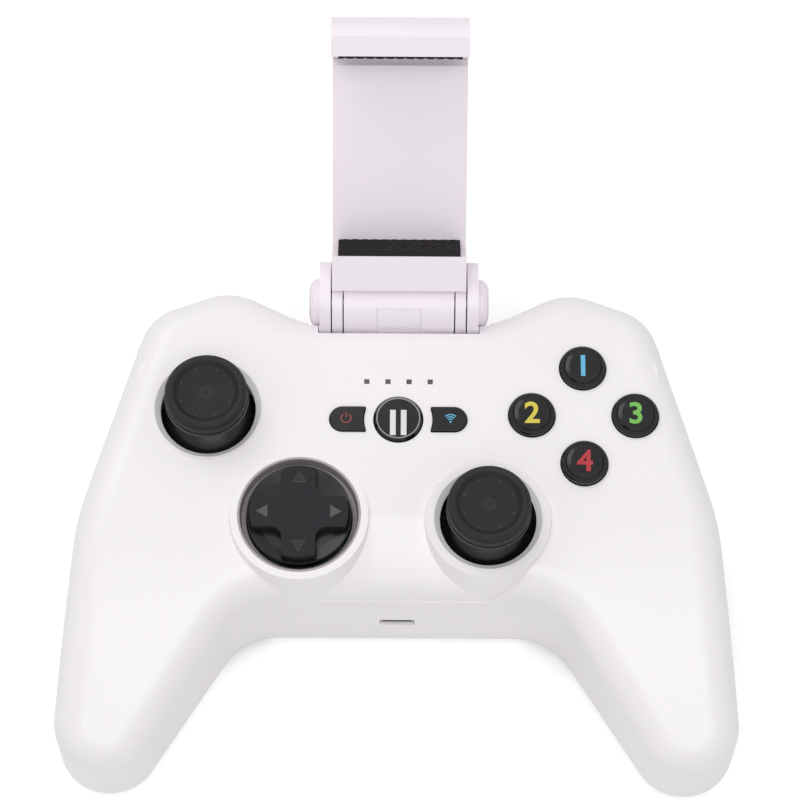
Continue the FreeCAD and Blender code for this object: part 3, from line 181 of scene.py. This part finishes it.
MATERIALS = {
    "white_shell": moulded(
        "white_shell", shade=(0.87, 0.84, 0.865), drift=0.005, roughness=(0.29, 0.32),
        grain=5200.0, depth=0.03, edge=(0.93, 0.90, 0.92), wear=0.3),
    "white_clamp": moulded(
        "white_clamp", shade=(0.90, 0.815, 0.885), drift=0.005, roughness=(0.33, 0.37),
        grain=5200.0, depth=0.04, edge=(0.91, 0.86, 0.90), wear=0.4),
    "rubber_black": moulded(
        "rubber_black", shade=(0.013, 0.010, 0.013), drift=0.16, roughness=(0.50, 0.66),
        grain=4200.0, depth=0.45, edge=(0.05, 0.045, 0.05), wear=0.5, specular=0.26),
    "gloss_black": moulded(
        "gloss_black", shade=(0.004, 0.0035, 0.005), drift=0.2, roughness=(0.24, 0.32),
        grain=900.0, depth=0.04, edge=(0.02, 0.02, 0.022), wear=0.3, specular=0.36),
    "matte_black": moulded(
        "matte_black", shade=(0.006, 0.005, 0.008), drift=0.12, roughness=(0.34, 0.46),
        grain=5200.0, depth=0.25, edge=(0.035, 0.033, 0.038), wear=0.4, specular=0.15),
    "button_black": moulded(
        "button_black", shade=(0.006, 0.005, 0.007), drift=0.2, roughness=(0.10, 0.18),
        grain=900.0, depth=0.05, edge=(0.025, 0.024, 0.027), wear=0.3, specular=0.36),
    # The bezel's mid grey is painted shade and a painted reflection of the dark pad, on a wall that
    # is white plastic
    "bezel_grey": moulded(
        "bezel_grey", shade=(0.34, 0.31, 0.33), drift=0.08, roughness=(0.34, 0.44),
        grain=4200.0, depth=0.2, edge=(0.48, 0.45, 0.47), wear=0.4),
    "inner_grey": moulded(
        "inner_grey", shade=(0.30, 0.30, 0.31), drift=0.06, roughness=(0.40, 0.52),
        grain=4200.0, depth=0.25, edge=(0.42, 0.42, 0.43), wear=0.4),
    "steel": moulded(
        "steel", shade=(0.56, 0.56, 0.58), drift=0.05, roughness=(0.24, 0.38),
        grain=3000.0, depth=0.25, edge=(0.72, 0.72, 0.74), wear=0.5, metal=1.0),
    "board_green": moulded(
        "board_green", shade=(0.035, 0.16, 0.07), drift=0.12, roughness=(0.30, 0.42),
        grain=2400.0, depth=0.35, edge=(0.16, 0.30, 0.18), wear=0.5),
    "battery_foil": moulded(
        "battery_foil", shade=(0.14, 0.22, 0.34), drift=0.08, roughness=(0.30, 0.42),
        grain=1500.0, depth=0.4, edge=(0.25, 0.33, 0.45), wear=0.4),
    "clear_window": moulded(
        "clear_window", shade=(0.055, 0.038, 0.036), drift=0.1, roughness=(0.12, 0.2),
        grain=2200.0, depth=0.08, edge=(0.12, 0.09, 0.085), wear=0.3, coat=0.4),
    "mat_rubber": moulded(
        "mat_rubber", shade=(0.32, 0.32, 0.34), drift=0.06, roughness=(0.60, 0.74),
        grain=3800.0, depth=0.45, edge=(0.42, 0.42, 0.44), wear=0.3),
}


# The clamp's pads are the stick caps' rubber, drawn smoother and darkened with painted shade

SHADED_PAD_RUBBER = moulded(
    "pad_rubber_shaded", shade=(0.006, 0.0045, 0.006), drift=0.2, roughness=(0.44, 0.6),
    grain=4200.0, depth=0.3, edge=(0.03, 0.026, 0.03), wear=0.5, specular=0.16)


def print_ink(name, shade):
    """Printed ink, slightly uneven, with a soft gloss."""
    return moulded(name, shade, drift=0.06, roughness=(0.28, 0.40), grain=6000.0, depth=0.15,
                   edge=shade, wear=0.0)


INKS = {
    "blue": print_ink("ink_blue", (0.12, 0.47, 0.70)),
    "yellow": print_ink("ink_yellow", (0.68, 0.57, 0.06)),
    "green": print_ink("ink_green", (0.16, 0.47, 0.08)),
    "red": print_ink("ink_red", (0.45, 0.025, 0.035)),
    "dull_red": print_ink("ink_dull_red", (0.26, 0.035, 0.03)),
    "white": print_ink("ink_white", (0.78, 0.76, 0.79)),
    # This grey is used only on the centre key's ring, and is partly print and partly a painted
    # highlight
    "grey": print_ink("ink_and_rim_highlight_grey", (0.30, 0.29, 0.31)),
    "dark_grey": print_ink("ink_dark_grey", (0.055, 0.052, 0.058)),
}


def finish_nodes():
    """Give each carried-over node the material of its slot."""
    slots = {s["node"]: s["material_slot"] for s in frame["record"]["subparts"]}
    for name, piece in frame["nodes"].items():
        piece.data.materials.clear()
        piece.data.materials.append(MATERIALS[slots[name]])


def soften(name, width, turn):
    """Round the edges of a piece that turn by more than an angle."""
    piece = frame["nodes"][name]
    flat = piece.modifiers.new("flat_faces", "DECIMATE")
    flat.decimate_type = "DISSOLVE"
    flat.angle_limit = math.radians(0.5)
    edge = piece.modifiers.new("soft_edges", "BEVEL")
    edge.width = width * MM
    edge.segments = 3
    edge.limit_method = "ANGLE"
    edge.angle_limit = math.radians(turn)
    even = piece.modifiers.new("even_normals", "WEIGHTED_NORMAL")
    even.weight = 80


def soften_edges():
    """Softened edges on the moulded pieces of the clamp, the hinge and the triggers."""
    sharp_only = 30
    shallow_too = 8
    for name, width, turn in (("clamp_body", 0.45, sharp_only), ("clamp_back", 0.35, sharp_only),
                              ("clamp_jaw", 0.7, shallow_too), ("hinge_base", 0.3, sharp_only),
                              ("left_trigger", 0.6, shallow_too),
                              ("right_trigger", 0.6, shallow_too)):
        soften(name, width, turn)


def add_piece(name, mesh, material, body):
    """Put a new mesh in the scene, with a material and on a body."""
    piece = bpy.data.objects.new(name, mesh)
    bpy.context.scene.collection.objects.link(piece)
    mesh.materials.clear()
    mesh.materials.append(material)
    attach(piece, body)
    return piece


def mesh_from(name, points, faces, smooth=False):
    """A mesh from points in millimetres, with outward faces."""
    mesh = bpy.data.meshes.new(name)
    mesh.from_pydata([Vector(p) * MM for p in points], [], faces)
    form = bmesh.new()
    form.from_mesh(mesh)
    bmesh.ops.recalc_face_normals(form, faces=form.faces)
    for face in form.faces:
        face.smooth = smooth
    form.to_mesh(mesh)
    form.free()
    return mesh


def tube_mesh(name, rings, closed=False):
    """A mesh that joins rings of points, with a face at each end unless it closes on itself."""
    count = len(rings[0])
    faces = []
    if not closed:
        last = count * (len(rings) - 1)
        faces.append(tuple(range(count)))
        faces.append(tuple(range(last, last + count)))
    for i in range(len(rings) if closed else len(rings) - 1):
        a = count * i
        b = count * ((i + 1) % len(rings))
        for j in range(count):
            k = (j + 1) % count
            faces.append((a + j, a + k, b + k, b + j))
    return mesh_from(name, [point for ring in rings for point in ring], faces)


def stroke(name, path, width, low, high, material, body, slot, closed=False):
    """A raised line of even width along a path in the XY plane."""
    rings = []
    count = len(path)
    for i, spot in enumerate(path):
        before = path[i - 1] if i or closed else spot
        after = path[(i + 1) % count] if i < count - 1 or closed else spot
        run = (Vector(after) - Vector(before)).normalized()
        aside = Vector((-run.y, run.x)) * width / 2
        right = Vector(spot) - aside
        left = Vector(spot) + aside
        rings.append([(*right, low), (*right, high), (*left, high), (*left, low)])
    return add_piece(name, tube_mesh(name, rings, closed), material, body)


def arc_path(centre, radius, first, last, steps=40):
    """Points along an arc in the XY plane, angles in degrees."""
    path = []
    for i in range(steps + 1):
        turn = math.radians(first + (last - first) * i / steps)
        path.append((centre[0] + radius * math.cos(turn), centre[1] + radius * math.sin(turn)))
    return path


def ring_path(centre, radius, steps=72):
    """Points round a full circle, without the last one twice."""
    return arc_path(centre, radius, 0, 360, steps)[:-1]


def plate(name, outline, low, high, material, body, slot):
    """A flat plate with a given outline and a softened rim."""
    rim_start = 0.6
    top_share = 0.94
    middle = sum((Vector(p) for p in outline), Vector((0, 0))) / len(outline)
    inner = [middle + (Vector(p) - middle) * top_share for p in outline]
    rim = low + (high - low) * rim_start
    rings = [[(x, y, low) for x, y in outline], [(x, y, rim) for x, y in outline],
             [(x, y, high) for x, y in inner]]
    return add_piece(name, tube_mesh(name, rings), material, body)


def numeral(name, text, centre, top, material, body):
    """A plain number printed on a button's top."""
    text_size = 7.2
    half_depth = 0.04
    boldness = 0.15
    lift = 0.03
    curve = bpy.data.curves.new(name + "_curve", "FONT")
    curve.body = text
    curve.size = text_size * MM
    curve.extrude = half_depth * MM
    curve.offset = boldness * MM
    curve.align_x = "CENTER"
    curve.align_y = "CENTER"
    draft = bpy.data.objects.new(name + "_draft", curve)
    bpy.context.scene.collection.objects.link(draft)
    bpy.context.view_layer.update()
    mesh = bpy.data.meshes.new_from_object(draft)
    bpy.data.objects.remove(draft)
    bpy.data.curves.remove(curve)
    xs = [v.co.x for v in mesh.vertices]
    ys = [v.co.y for v in mesh.vertices]
    shift = Vector((centre[0] * MM - (min(xs) + max(xs)) / 2,
                    centre[1] * MM - (min(ys) + max(ys)) / 2, (top + lift) * MM))
    mesh.transform(Matrix.Translation(shift))
    return add_piece(name, mesh, material, body)


def make_button_marks():
    """Plain numbers on the four face buttons."""
    marks = [("top", "1", 0, 1, "blue"), ("left", "2", -1, 0, "yellow"),
             ("right", "3", 1, 0, "green"), ("bottom", "4", 0, -1, "red")]
    for name, text, dx, dy, ink in marks:
        centre = (BUTTONS[0] + dx * BUTTON_PITCH, BUTTONS[1] + dy * BUTTON_PITCH)
        numeral("numeral_" + name, text, centre, BUTTON_TOP, INKS[ink], "button_" + name)


def make_centre_key_marks():
    """Two pause bars and a thin ring on the centre key."""
    bar_x = 1.22
    bar_half_width = 0.65
    front = CENTRE_KEY[1] - 4.2
    back = CENTRE_KEY[1] + 2.0
    for side, x in (("left", -bar_x), ("right", bar_x)):
        bar = [(x - bar_half_width, front), (x + bar_half_width, front),
               (x + bar_half_width, back), (x - bar_half_width, back)]
        plate("pause_bar_" + side, bar, *BAR_LEVELS, INKS["white"], "centre_button",
              "button_black")
    # The thin grey ring is partly a printed ring and partly a painted highlight along the key's
    # glossy rim
    ring_radius = 4.85
    ring_width = 0.28
    stroke("centre_key_ring", ring_path(CENTRE_KEY, ring_radius), ring_width, *RING_LEVELS,
           INKS["grey"], "centre_button", "button_black", True)


def side_key_print(name, path, width, ink, body):
    """A thin printed line on a side key."""
    stroke(name, path, width, *SIGN_LEVELS, ink, body, "button_black")


def make_power_sign():
    """An open ring with an upright bar on the left side key."""
    line = 0.28
    radius = 1.1
    opening_end = 125
    opening_start = 415
    bar_start = 0.3
    bar_end = 1.45
    x = -SIDE_KEY_X - SIGN_SHIFT
    y = CENTRE_KEY[1]
    side_key_print("power_arc", arc_path((x, y), radius, opening_end, opening_start), line,
                   INKS["dull_red"], "power_button")
    side_key_print("power_bar", [(x, y + bar_start), (x, y + bar_end)], line, INKS["dull_red"],
                   "power_button")


def make_wireless_sign():
    """A dot with three waves over it on the right side key."""
    line = 0.25
    dot_radius = 0.25
    dot_steps = 20
    wave_start = 48
    wave_end = 132
    wave_radii = (0.7, 1.25, 1.8)
    dot_drop = 0.8
    centre = (SIDE_KEY_X + SIGN_SHIFT, CENTRE_KEY[1] - dot_drop)
    plate("wireless_dot", ring_path(centre, dot_radius, dot_steps), *SIGN_LEVELS, INKS["blue"],
          "wireless_button", "button_black")
    for i, radius in enumerate(wave_radii):
        side_key_print("wireless_wave_%d" % (i + 1), arc_path(centre, radius, wave_start, wave_end),
                       line, INKS["blue"], "wireless_button")


def make_dpad_marks():
    """Four arrow marks near the ends of the direction pad's arms, each with a thin rim."""
    tip = 9.5
    base = 7.0
    half_width = 1.5
    rim_width = 0.16
    for name, turn in (("right", 0), ("up", 90), ("left", 180), ("down", 270)):
        spin = Matrix.Rotation(math.radians(turn), 2)
        corners = [spin @ Vector(p) for p in ((tip, 0.0), (base, half_width), (base, -half_width))]
        outline = [(DPAD[0] + p.x, DPAD[1] + p.y) for p in corners]
        aside = name in ("left", "right")
        fill = INKS["dark_grey"] if aside else MATERIALS["gloss_black"]
        plate("dpad_arrow_" + name, outline, *ARROW_LEVELS, fill, "dpad", "matte_black")
        stroke("dpad_rim_" + name, outline, rim_width, *RIM_LEVELS, INKS["dark_grey"], "dpad",
               "matte_black", True)


def make_bezel_ledge():
    """A ledge inside the bezel, in the bezel's grey of painted shade and reflection, that closes
    the gap round the direction pad.
    """
    steps = 96
    inner = 11.95
    outer = 12.9
    underside = 38.0
    inner_top = 38.3
    outer_top = 38.75
    section = [(inner, underside), (outer, underside), (outer, outer_top), (inner, inner_top)]
    rings = []
    for i in range(steps):
        turn = 2 * math.pi * i / steps
        rings.append([(DPAD[0] + r * math.cos(turn), DPAD[1] + r * math.sin(turn), z)
                      for r, z in section])
    add_piece("bezel_ledge", tube_mesh("bezel_ledge", rings, True), MATERIALS["bezel_grey"], "root")


def dome(x, y):
    """Points and faces of one small grip bump that stands on a flat base."""
    rings = 4
    spokes = 12
    points = [(x, y, BUMP_SEAT + BUMP_RISE)]
    for k in range(1, rings + 1):
        tilt = math.pi / 2 * k / rings
        for j in range(spokes):
            spin = 2 * math.pi * j / spokes
            points.append((x + BUMP_RADIUS * math.sin(tilt) * math.cos(spin),
                           y + BUMP_RADIUS * math.sin(tilt) * math.sin(spin),
                           BUMP_SEAT + BUMP_RISE * math.cos(tilt)))
    faces = []
    for j in range(spokes):
        after = (j + 1) % spokes
        faces.append((0, 1 + j, 1 + after))
        for k in range(rings - 1):
            a = 1 + k * spokes
            b = a + spokes
            faces.append((a + j, b + j, b + after, a + after))
    base = 1 + (rings - 1) * spokes
    faces.append(tuple(range(base, base + spokes)))
    return points, faces


def make_cap_bumps(side):
    """A ring of small grip bumps on a thumb stick's rubber cap."""
    x, y = STICKS[side]
    points = []
    faces = []
    for i in range(BUMP_COUNT):
        turn = math.radians(360 / BUMP_COUNT * (i + 0.5))
        bump_points, bump_faces = dome(x + BUMP_RING_RADIUS * math.cos(turn),
                                       y + BUMP_RING_RADIUS * math.sin(turn))
        start = len(points)
        points += bump_points
        faces += [tuple(start + corner for corner in face) for face in bump_faces]
    mesh = mesh_from(side + "_cap_bumps", points, faces, True)
    add_piece(side + "_cap_bumps", mesh, MATERIALS["rubber_black"], side + "_stick")


def leaned(x, y, z):
    """A point of the clamp, given upright about the hinge, where it lies when leaned back."""
    return (x, HINGE[0] + y * math.cos(LEAN) + z * math.sin(LEAN),
            HINGE[1] - y * math.sin(LEAN) + z * math.cos(LEAN))


def waved_pad(name, node, front, back, base, tip, body):
    """A rubber pad whose face carries rows of small waves, from its base to its tip height."""
    steps = 170
    rows = 36
    ridge_share = 0.3
    wave_share = 0.2
    sign = 1 if tip > base else -1
    rings = []
    for i in range(steps + 1):
        x = -PAD_HALF_WIDTH + 2 * PAD_HALF_WIDTH * i / steps
        wave = math.cos(2 * math.pi * x / WAVE_PITCH)
        section = [(back, base), (front, base)]
        for j in range(rows + 1):
            y = front + (back - front) * j / rows
            ridge = math.cos(2 * math.pi * (y - front - WAVE_SWAY * wave) / ROW_PITCH)
            sunk = WAVE_DEPTH * (ridge_share * (1 - ridge) + wave_share * (1 - wave))
            section.append((y, tip - sign * sunk))
        rings.append([leaned(x, y, z) for y, z in section])
    pad = add_piece(name, tube_mesh(name, rings), SHADED_PAD_RUBBER, body)
    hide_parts(node)


def make_clamp_pads():
    """The waved rubber pads of the two jaws."""
    waved_pad("ledge_waves", "lower_pad", front=-8.0, back=1.1, base=13.7, tip=15.2, body="clamp")
    waved_pad("jaw_waves", "upper_pad", front=-4.9, back=1.0, base=60.1, tip=58.6, body="jaw")


def make_stage():
    """A pale floor that takes the shadow and looks nearly white from above."""
    reach = 4000
    shade = 0.93
    glow_strength = 0.28
    corners = [(-reach, -reach, 0), (reach, -reach, 0), (reach, reach, 0), (-reach, reach, 0)]
    floor_mesh = mesh_from("floor", corners, [(0, 1, 2, 3)])
    floor = bpy.data.objects.new("floor", floor_mesh)
    bpy.context.scene.collection.objects.link(floor)
    material = bpy.data.materials.new("floor_white")
    material.use_nodes = True
    tree = material.node_tree
    tree.nodes.clear()
    diffuse = tree.nodes.new("ShaderNodeBsdfDiffuse")
    diffuse.inputs["Color"].default_value = (shade, shade, shade, 1)
    glow = tree.nodes.new("ShaderNodeEmission")
    glow.inputs["Color"].default_value = (1, 1, 1, 1)
    seen = tree.nodes.new("ShaderNodeLightPath")
    scale = tree.nodes.new("ShaderNodeMath")
    scale.operation = "MULTIPLY"
    scale.inputs[1].default_value = glow_strength
    both = tree.nodes.new("ShaderNodeAddShader")
    out = tree.nodes.new("ShaderNodeOutputMaterial")
    tree.links.new(seen.outputs["Is Camera Ray"], scale.inputs[0])
    tree.links.new(scale.outputs[0], glow.inputs["Strength"])
    tree.links.new(diffuse.outputs[0], both.inputs[0])
    tree.links.new(glow.outputs[0], both.inputs[1])
    tree.links.new(both.outputs[0], out.inputs["Surface"])
    floor_mesh.materials.append(material)


def white_ground(tree, strength):
    """White light of a given strength from all round."""
    ground = tree.nodes.new("ShaderNodeBackground")
    ground.inputs["Color"].default_value = (1, 1, 1, 1)
    ground.inputs["Strength"].default_value = strength
    return ground


def larger(tree, first, second):
    """The larger one of two values."""
    node = tree.nodes.new("ShaderNodeMath")
    node.operation = "MAXIMUM"
    tree.links.new(first, node.inputs[0])
    tree.links.new(second, node.inputs[1])
    return node.outputs[0]


def make_world():
    """Even studio light, with white where the camera or a reflection looks past the floor."""
    world = bpy.data.worlds.new("studio")
    bpy.context.scene.world = world
    world.use_nodes = True
    tree = world.node_tree
    tree.nodes.clear()
    light_strength = 0.57
    seen_strength = 1.0
    light = white_ground(tree, light_strength)
    white = white_ground(tree, seen_strength)
    seen = tree.nodes.new("ShaderNodeLightPath").outputs
    straight = larger(tree, seen["Is Camera Ray"], seen["Is Transmission Ray"])
    mix = tree.nodes.new("ShaderNodeMixShader")
    out = tree.nodes.new("ShaderNodeOutputWorld")
    tree.links.new(larger(tree, straight, seen["Is Glossy Ray"]), mix.inputs[0])
    tree.links.new(light.outputs[0], mix.inputs[1])
    tree.links.new(white.outputs[0], mix.inputs[2])
    tree.links.new(mix.outputs[0], out.inputs["Surface"])


def softbox(name, place, aim, side, watts):
    """A square soft lamp aimed at a point."""
    lamp = bpy.data.lights.new(name, "AREA")
    lamp.size = side
    lamp.energy = watts
    item = bpy.data.objects.new(name, lamp)
    bpy.context.scene.collection.objects.link(item)
    item.location = Vector(place)
    item.rotation_mode = "QUATERNION"
    item.rotation_quaternion = (Vector(aim) - Vector(place)).to_track_quat("-Z", "Y")


def make_lamps():
    """A large soft lamp above the front and a weaker one over the rear left."""
    softbox("front_softbox", place=(0.05, -0.38, 1.1), aim=(0, 0.01, 0.03), side=0.8, watts=4.5)
    softbox("rear_softbox", place=(-0.45, 0.6, 1.0), aim=(0, 0, 0.03), side=0.7, watts=3.2)


def make_camera():
    """The camera in front of the object, looking steeply down at its face."""
    aim = (0.36, 12.85, 40.8)
    distance = 714
    rise = math.radians(66)
    roll = math.radians(0.35)
    data = bpy.data.cameras.new("camera")
    data.sensor_width = 36.0
    data.lens = 141.75
    data.clip_start = 0.01
    data.clip_end = 20.0
    camera = bpy.data.objects.new("camera", data)
    bpy.context.scene.collection.objects.link(camera)
    back = Vector((0, -math.cos(rise), math.sin(rise)))
    camera.location = Vector(aim) * MM + back * distance * MM
    camera.rotation_mode = "QUATERNION"
    turned = Quaternion((0, 0, 1), roll)
    camera.rotation_quaternion = (-back).to_track_quat("-Z", "Y") @ turned
    bpy.context.scene.camera = camera


finish_nodes()
soften_edges()
make_button_marks()
make_centre_key_marks()
make_power_sign()
make_wireless_sign()
make_dpad_marks()
make_bezel_ledge()
for stick in STICKS:
    make_cap_bumps(stick)
make_clamp_pads()
make_stage()
make_world()
make_lamps()
make_camera()
bpy.context.scene.view_settings.view_transform = "Standard"
